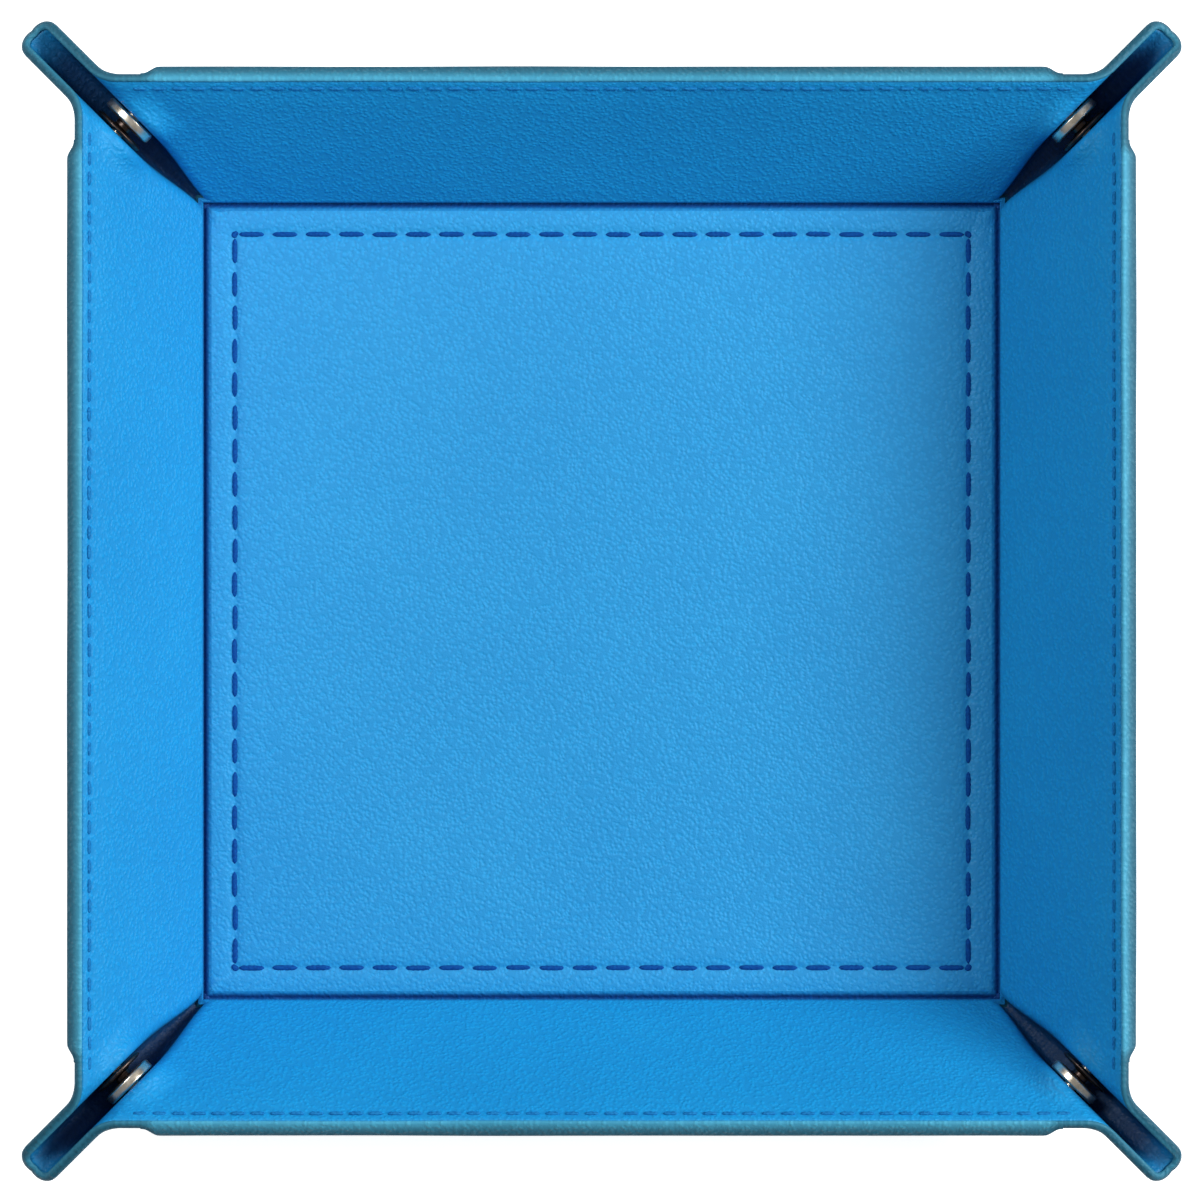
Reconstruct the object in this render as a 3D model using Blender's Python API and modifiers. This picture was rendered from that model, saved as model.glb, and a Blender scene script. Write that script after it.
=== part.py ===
"""Folding dice tray: one square leather sheet with boards inside, folded up at four corners.

Everything is drawn on the flat sheet and then folded. The flat sheet lies on z = 0 with its
lining upward, centred on the origin. One side, the north wall, is drawn and turned about Z to
give the other three. Empties sit on the fold lines and carry the angles of the raised tray:
floor to wall, wall to ear (the crease), and ear to spine (the strip along the diagonal fold).
"""
import math

import bmesh
import bpy
from mathutils import Matrix, Quaternion, Vector

# Sizes in metres, angles in radians.
FLOOR = 0.150                      # floor, fold line to fold line
WALL = 0.035                       # wall, fold line to rim, along its slope
WALL_TILT = math.radians(57)       # raised wall above the floor's plane
SHEET_RADIUS = 0.008               # rounded corners of the flat sheet

SKIN = 0.0007                      # lining leather, and outer leather
BOARD = 0.0015                     # stiffening boards
LAYER_GAP = 0.0003                 # room between touching layers
FOLD_GAP = 0.00015                 # room between a fold's axis and the leather beside it
SLOT = 0.0046                      # slot between the two halves of an ear

SNAP_ALONG = 0.0245                # snap centre, along the crease from the floor's corner
SNAP_BESIDE = 0.0029               # snap centre, from the crease into the ear
LOBE_RADIUS = 0.0058               # ear leather round the snap, which reaches past the crease
NOTCH_RADIUS = 0.0061              # the wall's notch, in which that leather turns
SHANK_HOLE = 0.0017                # hole for the rivet shank
EAR_START = 0.0090                 # where an ear begins: x + y beyond the floor's corner
GORE_GAP = 0.0004                  # room between the wall's foot and the ear's start
SPINE_GAP = 0.0004                 # from a spine strip to the diagonal, where it meets its twin

BOARD_END = 0.0080                 # from the crease to the wall board's end
BOARD_FOOT = 0.0012                # from a fold line to the board beside it

THREAD_WIDTH = 0.0005
THREAD_PROUD = 0.0002              # thread above the lining
THREAD_SUNK = 0.0001               # thread below the lining's surface
THREAD_GAP = 0.0002                # room round the thread in its groove
FLOOR_SEAM = 0.0055                # floor seam, in from the fold lines
RIM_SEAM = 0.0020                  # rim seam, down from the rim

ARC_STEPS = 8                      # steps of a quarter turn or so
TURNED_STEPS = 20                  # facets of the turned snap pieces

# Worked out from the sizes above.
HALF = FLOOR / 2
STACK = 2 * SKIN + 2 * LAYER_GAP + BOARD          # floor and wall thickness
LEATHER = 2 * SKIN + LAYER_GAP                    # corner leather, with no board in it
COS_TILT = math.cos(WALL_TILT)
SIN_TILT = math.sin(WALL_TILT)
CREASE_STRETCH = math.hypot(1, COS_TILT)          # crease length per unit of height
EAR_TURN = math.acos(SIN_TILT / math.sqrt(2))     # brings an ear parallel to the diagonal
SPINE_TURN = math.pi / 2
SPINE_WIDTH = SLOT / 2
BOARD_TOP = WALL - SKIN - 2 * LAYER_GAP           # wall board's upper edge, from the fold line
# The crease lies this far from the line that starts at the floor's corner, as the ear is thick.
CREASE_INSET = (SPINE_WIDTH + LEATHER * (1 - math.cos(EAR_TURN))) / math.sin(EAR_TURN)
CREASE_ANGLE = math.atan2(1, COS_TILT)            # the crease's direction on the flat sheet
SOCKET_SIDES = ("north", "south")                 # walls whose ears carry caps and sockets
SIDES = ("north", "east", "south", "west")
RIGHT_CORNERS = ("ne", "se", "sw", "nw")          # corner at each side's right-hand end

LINING_BLUE = (0.05, 0.33, 0.72, 1)
OUTER_TEAL = (0.07, 0.32, 0.48, 1)
THREAD_NAVY = (0.01, 0.08, 0.26, 1)
BOARD_GREY = (0.42, 0.38, 0.33, 1)
NICKEL = (0.72, 0.69, 0.62, 1)
DARK_METAL = (0.10, 0.08, 0.07, 1)


def clear_scene():
    for item in list(bpy.data.objects):
        bpy.data.objects.remove(item)


def new_collection(name):
    collection = bpy.data.collections.new(name)
    bpy.context.scene.collection.children.link(collection)
    return collection


def principled(name, colour, roughness, metallic=0.0):
    material = bpy.data.materials.new(name)
    material.use_nodes = True
    shader = material.node_tree.nodes["Principled BSDF"]
    shader.inputs["Base Color"].default_value = colour
    shader.inputs["Roughness"].default_value = roughness
    shader.inputs["Metallic"].default_value = metallic
    return material


class Fold:
    """An empty on a fold line. What hangs from it is drawn flat and turns with it."""

    def __init__(self, name, parent, pivot, axis, angle):
        self.pivot = Vector(pivot)
        self.empty = bpy.data.objects.new(name, None)
        PARTS.objects.link(self.empty)
        self.empty.location = self.pivot
        if parent is not None:
            self.empty.parent = parent.empty
            self.empty.location = self.pivot - parent.pivot
        self.empty.rotation_mode = "QUATERNION"
        self.empty.rotation_quaternion = Quaternion(Vector(axis).normalized(), angle)

    def hang(self, name, mesh, material, drawn_at=(0, 0, 0)):
        """Add a piece whose mesh was drawn round the flat sheet's point drawn_at."""
        piece = bpy.data.objects.new(name, mesh)
        if not mesh.materials:
            mesh.materials.append(material)
        PARTS.objects.link(piece)
        piece.parent = self.empty
        piece.location = Vector(drawn_at) - self.pivot
        return piece


def mesh_of(item):
    """The evaluated mesh of an object, which is then dropped."""
    bpy.context.view_layer.update()
    evaluated = item.evaluated_get(bpy.context.evaluated_depsgraph_get())
    mesh = bpy.data.meshes.new_from_object(evaluated)
    mesh.transform(item.matrix_world)
    mesh.name = item.name
    bpy.data.objects.remove(item)
    shape = bmesh.new()
    shape.from_mesh(mesh)
    bmesh.ops.remove_doubles(shape, verts=shape.verts, dist=0.000001)
    shape.to_mesh(mesh)
    shape.free()
    return mesh


def slab(name, outlines, low, high):
    """A flat plate from height low to high: an outline, then any holes in it."""
    curve = bpy.data.curves.new(name, "CURVE")
    curve.dimensions = "2D"
    curve.fill_mode = "BOTH"
    curve.extrude = (high - low) / 2
    for outline in outlines:
        spline = curve.splines.new("POLY")
        spline.points.add(len(outline) - 1)
        for point, (x, y) in zip(spline.points, outline):
            point.co = (x, y, 0, 1)
        spline.use_cyclic_u = True
    item = bpy.data.objects.new(name, curve)
    CUTTERS.objects.link(item)
    item.location.z = (low + high) / 2
    return mesh_of(item)


def carved(name, mesh, cutters):
    """The mesh after other meshes are cut from it, in turn."""
    item = bpy.data.objects.new(name, mesh)
    CUTTERS.objects.link(item)
    for cutter_mesh in cutters:
        cutter = bpy.data.objects.new(f"{name}_{cutter_mesh.name}", cutter_mesh)
        CUTTERS.objects.link(cutter)
        cutter.hide_render = True
        cutter.display_type = "WIRE"
        boolean = item.modifiers.new(cutter.name, "BOOLEAN")
        boolean.operation = "DIFFERENCE"
        boolean.solver = "EXACT"
        boolean.object = cutter
    return mesh_of(item)


def mirrored(mesh):
    """The same piece for the other end of the wall."""
    copy = mesh.copy()
    copy.transform(Matrix.Scale(-1, 4, (1, 0, 0)))
    copy.flip_normals()
    return copy


def turned(name, profile, closed=False):
    """A turned piece from (radius, height) points that run down its outer side."""
    mesh = bpy.data.meshes.new(name + "_profile")
    count = len(profile)
    edges = [(i, i + 1) for i in range(count - 1)]
    if closed:
        edges.append((count - 1, 0))
    mesh.from_pydata([(radius, 0, height) for radius, height in profile], edges, [])
    item = bpy.data.objects.new(name, mesh)
    CUTTERS.objects.link(item)
    screw = item.modifiers.new("turn", "SCREW")
    screw.steps = TURNED_STEPS
    screw.render_steps = TURNED_STEPS
    screw.use_merge_vertices = True
    screw.merge_threshold = 0.00001
    shape = mesh_of(item)
    shape.shade_smooth()
    shape.set_sharp_from_angle(angle=math.radians(35))
    return shape


def box_outline(left, bottom, right, top):
    return [(left, bottom), (right, bottom), (right, top), (left, top)]


def square_outline(half):
    return box_outline(-half, -half, half, half)


def arc(centre, radius, start, end, steps):
    """Points of an arc, both ends included."""
    points = []
    for i in range(steps + 1):
        angle = start + (end - start) * i / steps
        points.append((centre[0] + radius * math.cos(angle), centre[1] + radius * math.sin(angle)))
    return points


def both_ends(right_end):
    """A closed outline from its right-hand end, bottom to top, and that end's mirror image."""
    return right_end + [(-x, y) for x, y in reversed(right_end)]


def crease_point(along, beside):
    """The flat sheet's point that far along the crease and beside it, on the ear's side."""
    across = beside - CREASE_INSET
    x = along * math.cos(CREASE_ANGLE) + across * math.sin(CREASE_ANGLE)
    y = along * math.sin(CREASE_ANGLE) - across * math.cos(CREASE_ANGLE)
    return (HALF + x, HALF + y)


def crease_x(height, beside=0.0):
    """X of the crease at a height on the wall, or of a line beside it on the ear's side."""
    return HALF + height * COS_TILT + (beside - CREASE_INSET) * CREASE_STRETCH


def crease_height(total, beside=0.0):
    """Height at which the crease meets the line on which x + y beyond the corner is total."""
    return (total - (crease_x(0, beside) - HALF)) / (1 + COS_TILT)


def round_snap(radius, beside):
    """The arc about the snap that reaches past a line beside the crease, top to bottom."""
    middle = CREASE_ANGLE + math.pi / 2
    spread = math.acos((SNAP_BESIDE - beside) / radius)
    centre = crease_point(SNAP_ALONG, SNAP_BESIDE)
    return arc(centre, radius, middle - spread, middle + spread, 2 * ARC_STEPS)


def wall_outline(top):
    """The wall's leather: foot, gore beside the floor's corner, crease and snap notch."""
    foot = FOLD_GAP
    gore_total = EAR_START - GORE_GAP
    gore_peak = (gore_total + GORE_GAP) / (1 + COS_TILT)
    crease_foot = crease_height(gore_total, -FOLD_GAP)
    right_end = [
        (HALF + foot * COS_TILT - GORE_GAP, HALF + foot),
        (HALF + gore_peak * COS_TILT - GORE_GAP, HALF + gore_peak),
        (crease_x(crease_foot, -FOLD_GAP), HALF + crease_foot),
    ]
    right_end += reversed(round_snap(NOTCH_RADIUS, -FOLD_GAP))
    right_end.append((crease_x(top, -FOLD_GAP), HALF + top))
    return both_ends(right_end)


def board_outline(grow, foot, top):
    """The wall board, with ends parallel to the creases, or a shape that much larger."""
    beside = grow - BOARD_END
    return both_ends([
        (crease_x(foot, beside), HALF + foot),
        (crease_x(top, beside), HALF + top),
    ])


def corner_outlines(beside):
    """The sheet's two stretches beyond lines parallel to the creases, drawn past its edges."""
    past = BOARD_END
    far = HALF + 2 * WALL
    right = [
        (crease_x(-past, beside), HALF - past),
        (far, HALF - past),
        (far, HALF + WALL + past),
        (crease_x(WALL + past, beside), HALF + WALL + past),
    ]
    return [right, [(-x, y) for x, y in right]]


def wall_cover():
    """Outer leather: pocket for the board, thin corners, and the edge turned over the rim."""
    lip = WALL - SKIN
    reach = HALF + WALL
    plate_top = STACK - SKIN - LAYER_GAP
    whole = slab("cover", [wall_outline(WALL)], 0, STACK)
    thick_end = LAYER_GAP + SKIN - BOARD_END
    under_corners = slab("under_corners", corner_outlines(thick_end), -STACK, STACK - LEATHER)
    pocket = board_outline(LAYER_GAP, -BOARD_FOOT, BOARD_TOP + LAYER_GAP)
    board_room = slab("board_room", [pocket], SKIN, 2 * STACK)
    over = box_outline(-reach, HALF - WALL, reach, HALF + lip)
    lining_room = slab("lining_room", [over], plate_top, 3 * STACK)
    cuts = [under_corners, board_room, lining_room]
    return carved("wall_cover", whole, cuts)


def seam_outlines(inner, outer):
    """Two nested squares: the band between them is a seam or its groove."""
    return [square_outline(outer), square_outline(inner)]


def wall_lining():
    """Lining leather with a groove for the rim seam."""
    top = WALL - SKIN - LAYER_GAP
    plate = slab("lining", [wall_outline(top)], STACK - SKIN, STACK)
    middle = HALF + WALL - RIM_SEAM
    side = THREAD_WIDTH / 2 + THREAD_GAP
    reach = crease_x(WALL - RIM_SEAM)
    groove = box_outline(-reach, middle - side, reach, middle + side)
    depth = THREAD_SUNK + THREAD_GAP
    room = slab("rim_groove", [groove], STACK - depth, 2 * STACK)
    return carved("wall_lining", plate, [room])


def wall_thread():
    """Seam thread along the rim, in its groove."""
    middle = HALF + WALL - RIM_SEAM
    side = THREAD_WIDTH / 2
    reach = crease_x(WALL - RIM_SEAM, -LAYER_GAP)
    line = box_outline(-reach, middle - side, reach, middle + side)
    return slab("wall_thread", [line], STACK - THREAD_SUNK, STACK + THREAD_PROUD)


def wall_board():
    outline = board_outline(0, BOARD_FOOT, BOARD_TOP)
    return slab("wall_board", [outline], SKIN + LAYER_GAP, SKIN + LAYER_GAP + BOARD)


def ear_leather():
    """Right-hand half ear: between the crease and the spine, with a lobe round the snap."""
    away = SPINE_WIDTH + FOLD_GAP
    shift = math.sqrt(2) * away
    start_height = crease_height(EAR_START, FOLD_GAP)
    centre = (HALF + WALL - SHEET_RADIUS, HALF + WALL - SHEET_RADIUS)
    arc_start = math.pi / 4 + math.asin(away / SHEET_RADIUS)
    spine_start = (HALF + (EAR_START - shift) / 2, HALF + (EAR_START + shift) / 2)
    outline = [(crease_x(start_height, FOLD_GAP), HALF + start_height), spine_start]
    outline += arc(centre, SHEET_RADIUS, arc_start, math.pi / 2, ARC_STEPS)
    outline.append((crease_x(WALL, FOLD_GAP), HALF + WALL))
    outline += round_snap(LOBE_RADIUS, FOLD_GAP)
    snap = crease_point(SNAP_ALONG, SNAP_BESIDE)
    hole = arc(snap, SHANK_HOLE, 0, 2 * math.pi, TURNED_STEPS)[:-1]
    return slab("ear_leather", [outline, hole], STACK - LEATHER, STACK)


def spine_leather():
    """Right-hand half of the strip along the diagonal fold, which closes the ear."""
    diagonal = Vector((1, 1)) / math.sqrt(2)
    toward_wall = Vector((-1, 1)) / math.sqrt(2)
    corner = Vector((HALF, HALF))
    near = EAR_START / math.sqrt(2)
    wide = SPINE_WIDTH - FOLD_GAP
    far = (WALL - SHEET_RADIUS) * math.sqrt(2) + math.sqrt(SHEET_RADIUS ** 2 - wide ** 2)
    outline = []
    for along, away in ((near, SPINE_GAP), (far, SPINE_GAP), (far, wide), (near, wide)):
        outline.append(tuple(corner + along * diagonal + away * toward_wall))
    return slab("spine_leather", [outline], STACK - LEATHER, STACK)


def snap_cap():
    """Domed cap outside the ear, with the rivet shank that goes through the leather."""
    return turned("snap_cap", [
        (0, 0.0025), (0.0014, 0.0025), (0.0014, -0.0003), (0.0051, -0.0003),
        (0.0054, -0.0005), (0.0054, -0.0008), (0.0046, -0.0013), (0.0030, -0.00155),
        (0, -0.00165),
    ])


def snap_socket():
    """Ring inside the ear that takes the stud."""
    return turned("snap_socket", [
        (0.0026, 0.0038), (0.0044, 0.0038), (0.00505, 0.0033), (0.00505, 0.0023),
        (0.0047, 0.0020), (0.00175, 0.0020), (0.00175, 0.00275), (0.0026, 0.00275),
    ], closed=True)


def snap_stud():
    """Flange with the headed stud that enters the socket."""
    return turned("snap_stud", [
        (0, 0.00495), (0.0015, 0.00495), (0.00195, 0.0046), (0.00195, 0.00425),
        (0.0016, 0.0039), (0.0016, 0.0029), (0.0045, 0.0029), (0.00505, 0.0026),
        (0.00505, 0.0023), (0.0047, 0.0020), (0.0015, 0.0020), (0.0015, 0.0025),
        (0, 0.0025),
    ])


def snap_post():
    """Eyelet outside the ear whose shank holds the stud."""
    return turned("snap_post", [
        (0, 0.0022), (0.0012, 0.0022), (0.0012, -0.0003), (0.0042, -0.0003),
        (0.0045, -0.0006), (0.0042, -0.00095), (0.0015, -0.00095), (0.0008, -0.0006),
        (0.0008, 0.0010), (0, 0.0010),
    ])


def add_floor(sheet):
    """Board between two leathers, with the square seam that holds it."""
    edge = HALF - FOLD_GAP
    middle = HALF - FLOOR_SEAM
    half_thread = THREAD_WIDTH / 2
    half_groove = half_thread + THREAD_GAP
    outer = slab("floor_outer", [square_outline(edge)], 0, SKIN)
    board = slab("floor_board", [square_outline(HALF - BOARD_FOOT)],
                 SKIN + LAYER_GAP, SKIN + LAYER_GAP + BOARD)
    plate = slab("lining", [square_outline(edge)], STACK - SKIN, STACK)
    depth = THREAD_SUNK + THREAD_GAP
    groove = slab("floor_groove", seam_outlines(middle - half_groove, middle + half_groove),
                  STACK - depth, 2 * STACK)
    lining = carved("floor_lining", plate, [groove])
    thread = slab("floor_thread", seam_outlines(middle - half_thread, middle + half_thread),
                  STACK - THREAD_SUNK, STACK + THREAD_PROUD)
    sheet.hang("floor_outer", outer, OUTER)
    sheet.hang("floor_board", board, CARD)
    sheet.hang("floor_lining", lining, LINING)
    sheet.hang("floor_thread", thread, THREAD)


def add_ear(side, corner, wall, hand, shapes):
    """Half an ear: hand is 1 at the wall's right-hand end and -1 at the other."""
    x, y = crease_point(SNAP_ALONG, 0)
    on_crease = (hand * x, y, STACK - LEATHER)
    ear = Fold(f"ear_{corner}_{side}_fold", wall, on_crease, (COS_TILT, hand, 0), EAR_TURN)
    x, y = crease_point(SNAP_ALONG, SNAP_BESIDE)
    snap = (hand * x, y, STACK - LEATHER)
    away = SPINE_WIDTH * math.sqrt(2)
    on_spine = (hand * HALF, HALF + away, STACK)
    spine = Fold(f"spine_{corner}_{side}_fold", ear, on_spine, (-1, -hand, 0), SPINE_TURN)
    ear.hang(f"ear_{corner}_{side}", shapes["ear"][hand], LINING)
    spine.hang(f"spine_{corner}_{side}", shapes["spine"][hand], OUTER)
    if side in SOCKET_SIDES:
        ear.hang(f"snap_cap_{corner}", shapes["cap"], SHINY, snap)
        ear.hang(f"snap_socket_{corner}", shapes["socket"], SHINY, snap)
    else:
        ear.hang(f"snap_post_{corner}", shapes["post"], SHINY, snap)
        ear.hang(f"snap_stud_{corner}", shapes["stud"], DARK, snap)


def add_side(number, sheet, shapes):
    """One wall with the two half ears at its ends."""
    side = SIDES[number]
    frame = Fold(f"side_{side}", sheet, (0, 0, 0), (0, 0, -1), number * math.pi / 2)
    wall = Fold(f"wall_{side}_fold", frame, (0, HALF, STACK), (1, 0, 0), WALL_TILT)
    wall.hang(f"wall_{side}_cover", shapes["cover"], OUTER)
    wall.hang(f"wall_{side}_board", shapes["board"], CARD)
    wall.hang(f"wall_{side}_lining", shapes["lining"], LINING)
    wall.hang(f"wall_{side}_thread", shapes["thread"], THREAD)
    add_ear(side, RIGHT_CORNERS[number], wall, 1, shapes)
    add_ear(side, RIGHT_CORNERS[number - 1], wall, -1, shapes)


def both_hands(mesh):
    return {1: mesh, -1: mirrored(mesh)}


def build():
    sheet = Fold("tray", None, (0, 0, 0), (0, 0, 1), 0)
    add_floor(sheet)
    shapes = {
        "cover": wall_cover(),
        "board": wall_board(),
        "lining": wall_lining(),
        "thread": wall_thread(),
        "ear": both_hands(ear_leather()),
        "spine": both_hands(spine_leather()),
        "cap": snap_cap(),
        "socket": snap_socket(),
        "stud": snap_stud(),
        "post": snap_post(),
    }
    for number in range(len(SIDES)):
        add_side(number, sheet, shapes)


clear_scene()
PARTS = new_collection("folding_dice_tray")
CUTTERS = new_collection("cutters")
LINING = principled("lining_leather", LINING_BLUE, 0.45)
OUTER = principled("outer_leather", OUTER_TEAL, 0.5)
THREAD = principled("seam_thread", THREAD_NAVY, 0.7)
CARD = principled("grey_board", BOARD_GREY, 0.85)
SHINY = principled("nickel_plate", NICKEL, 0.22, 1.0)
DARK = principled("dark_metal", DARK_METAL, 0.35, 1.0)
build()
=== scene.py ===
import math

import bpy
from mathutils import Matrix, Vector, noise


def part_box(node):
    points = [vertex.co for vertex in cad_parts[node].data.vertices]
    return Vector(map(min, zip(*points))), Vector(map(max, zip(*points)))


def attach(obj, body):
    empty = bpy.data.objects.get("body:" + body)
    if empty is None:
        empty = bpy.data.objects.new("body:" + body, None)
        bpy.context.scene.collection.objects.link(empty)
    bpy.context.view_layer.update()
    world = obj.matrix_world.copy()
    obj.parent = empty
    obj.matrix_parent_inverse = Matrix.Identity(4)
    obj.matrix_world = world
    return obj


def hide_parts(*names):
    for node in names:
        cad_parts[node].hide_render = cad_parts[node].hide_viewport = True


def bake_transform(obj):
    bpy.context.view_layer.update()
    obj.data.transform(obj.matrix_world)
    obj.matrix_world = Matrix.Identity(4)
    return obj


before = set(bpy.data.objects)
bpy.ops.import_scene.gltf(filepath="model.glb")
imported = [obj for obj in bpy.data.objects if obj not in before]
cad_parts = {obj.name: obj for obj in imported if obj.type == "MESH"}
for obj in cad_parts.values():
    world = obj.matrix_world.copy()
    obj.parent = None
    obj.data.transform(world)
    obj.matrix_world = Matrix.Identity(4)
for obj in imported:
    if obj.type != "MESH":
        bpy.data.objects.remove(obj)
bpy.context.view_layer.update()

# Lengths in millimetres here; meshes are scaled to metres when they are made.
MM = 0.001
HALF = 75.0                        # floor centre to fold line
WALL = 35.0                        # fold line to rim, along the slope
SHEET = 2 * (HALF + WALL)          # the flat sheet's side
SHEET_RADIUS = 8.0
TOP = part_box("floor_lining")[1][2] / MM
SKIN = 0.8                         # one leather
THIN = 1.7                         # both leathers, without a board
THICK = TOP                        # with the board
TILT = math.radians(57)            # raised wall above the floor's plane
C = math.cos(TILT)
S = math.sin(TILT)
N = math.hypot(1, C)               # length along the crease per unit of wall height
TURN = math.acos(S / math.sqrt(2))  # from the wall's plane to the ear's

LIP_AT = 34.2                      # where the lining ends below the rim
GROOVE_HALF = 1.1                  # from a fold line to the ends of its strip
GROOVE_DEPTH = 0.95
FLOOR_EDGE = HALF - GROOVE_HALF
FLOOR_SEAM = HALF - 5.5            # floor centre to the floor's stitches
RIM_SEAM = WALL - 2.6              # fold line to the wall's stitches
PIECE_SEAM = 9.5                   # where wall and corner pieces meet, from the corner's own line

# The folded corner. The crease is the fold between wall and ear; rho is a distance along it. The
# corner's own line starts at the floor's corner and runs beside the crease, as the ear is thick.
SLOT_HALF = 2.3                    # half the slot between an ear's two halves
SLOT_FOOT = 0.75                   # the same at the floor's corner
SLOT_REACH = 17                    # rho at which the slot has its full width
# From the crease to the corner's own line, and the crease's depth below the ear's own origin.
CREASE_AT = (SLOT_HALF + THIN * (1 - math.cos(TURN))) / math.sin(TURN)
CREASE_DEPTH = -CREASE_AT * math.cos(TURN) + THIN * math.sin(TURN)
SPINE_AT = 1.719                   # depth of the diagonal fold at the floor's corner
SPINE_RISE = 0.537                 # how much less for each unit of half slot
SLOPE = (1 - C) / (1 + C)          # how fast the ear deepens along the crease
SNAP_ALONG = 24.5                  # snap centre, along the crease
SNAP_BESIDE = 2.9                  # snap centre, from the crease into the ear
SWELL = 2.9                        # how far the wall stands back beside a snap
SWELL_REACH = 8.2                  # and how far that goes along the crease
SWELL_FADE = 3.5                   # and into the ear
TWIN_OVERLAP = 0.04                # overlap of the two halves on the diagonal

SIDES = ("north", "east", "south", "west")
RIGHT_CORNERS = ("ne", "se", "sw", "nw")

# The ear's own axes at the north wall's right-hand end.
CORNER = Vector((HALF, HALF, TOP))
ALONG = Vector((C, C, S)) / N
ACROSS = Vector((-1, 1, 0)) / math.sqrt(2)
LEVEL = math.hypot(C, C) / N
OUTWARD = Vector((1, 1, 0)) / math.sqrt(2) * (S / N) - Vector((0, 0, 1)) * LEVEL

# Angles above which an edge is drawn sharp.
LEATHER_ANGLE, METAL_ANGLE, THREAD_ANGLE = 38, 50, 80


def smooth(t):
    t = min(1.0, max(0.0, t))
    return t * t * (3 - 2 * t)


def flat_uv(x, y):
    return (x / SHEET + 0.5, y / SHEET + 0.5)


def turned_to(side, hand):
    """Matrix from the north wall's right-hand end to a side's right (1) or left (-1) end."""
    number = SIDES.index(side)
    turn = Matrix.Rotation(-number * math.pi / 2, 4, "Z")
    return turn @ Matrix.Diagonal((hand, 1, 1, 1))


# ---------------------------------------------------------------- meshes

def make(name, verts, faces, uvs, material, matrix, sharp_angle=LEATHER_ANGLE, shade=None):
    """A mesh object from millimetre points; shade is 1 where the leather has its own colour, and lower
    where painted shade darkens it (on the teal leather, 1 marks a painted highlight along the rim).
    """
    mesh = bpy.data.meshes.new(name)
    mesh.from_pydata([Vector(v) * MM for v in verts], [], faces)
    if shade:
        mesh.attributes.new("shade", "FLOAT", "POINT").data.foreach_set("value", shade)
    layer = mesh.uv_layers.new(name="sheet")
    for corner in mesh.loops:
        layer.data[corner.index].uv = uvs[corner.vertex_index]
    mesh.transform(matrix)
    if matrix.determinant() < 0:
        mesh.flip_normals()
    mesh.validate()
    mesh.shade_smooth()
    mesh.set_sharp_from_angle(angle=math.radians(sharp_angle))
    mesh.materials.append(material)
    item = bpy.data.objects.new(name, mesh)
    bpy.context.scene.collection.objects.link(item)
    return item


def loft(loops):
    """Skin over equally long closed loops of (point, uv, ...), with both ends closed."""
    verts = [point[0] for ring in loops for point in ring]
    uvs = [point[1] for ring in loops for point in ring]
    count = len(loops[0])
    faces = []
    for j in range(len(loops) - 1):
        for i in range(count):
            k = (i + 1) % count
            here, beyond = j * count, (j + 1) * count
            faces.append((here + i, here + k, beyond + k, beyond + i))
    faces.append(tuple(reversed(range(count))))
    last = (len(loops) - 1) * count
    faces.append(tuple(last + i for i in range(count)))
    return verts, faces, uvs


def shades(loops):
    return [point[2] for ring in loops for point in ring]


def grid_plate(xs, ys, top, bottom):
    """Closed plate over a grid: top and bottom give the heights at (x, y)."""
    loops = []
    for x in xs:
        ring = [((x, y, bottom(x, y)), flat_uv(x, y)) for y in ys]
        ring += [((x, y, top(x, y)), flat_uv(x, y)) for y in reversed(ys)]
        loops.append(ring)
    return loft([list(reversed(ring)) for ring in loops])


# ---------------------------------------------------------------- soft unevenness

def ripple(x, y, size, seed):
    return noise.noise(Vector((x / size, y / size, seed)))


# ---------------------------------------------------------------- the folded corner

def ear_point(x, b, rho):
    """A point beside the diagonal (x), outward of the corner's line (b) and along it (rho)."""
    return CORNER + ALONG * rho + ACROSS * x + OUTWARD * b


def corner_facts(rho):
    """The folded section at a distance along the crease.

    Half slot, crease to the corner's own line, depths of crease and diagonal fold, radius and
    half length of the bend at the crease, radius of the diagonal fold, swell beside the snap.
    """
    g = SLOT_FOOT + (SLOT_HALF - SLOT_FOOT) * smooth(rho / SLOT_REACH)
    t = (g + THIN * (1 - math.cos(TURN))) / math.sin(TURN)
    foot = -t * math.cos(TURN) + THIN * math.sin(TURN)
    top = SPINE_AT - SPINE_RISE * g + SLOPE * rho
    widest = 0.9 + 0.4 * smooth(rho / 10) + 3.4 * smooth((rho - 28) / 9)
    spine = min(1.6, 0.85 * g)
    swell = SWELL * math.cos(min(1, abs(rho - SNAP_ALONG) / SWELL_REACH) * math.pi / 2) ** 2
    zone = min(widest * math.tan(TURN / 2), 0.45 * (top - foot - spine))
    radius = zone / math.tan(TURN / 2)
    return g, t, foot, top, radius, zone, spine, swell


# Zones across the corner leather: wall, bend at the crease, ear, diagonal fold, slot bottom.
WALL_ZONE, BEND_ZONE, EAR_ZONE, SPINE_ZONE, STRIP_ZONE = range(5)
STRAIGHT_SHARE = 0.25              # straight part of the zone at the diagonal fold


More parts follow.
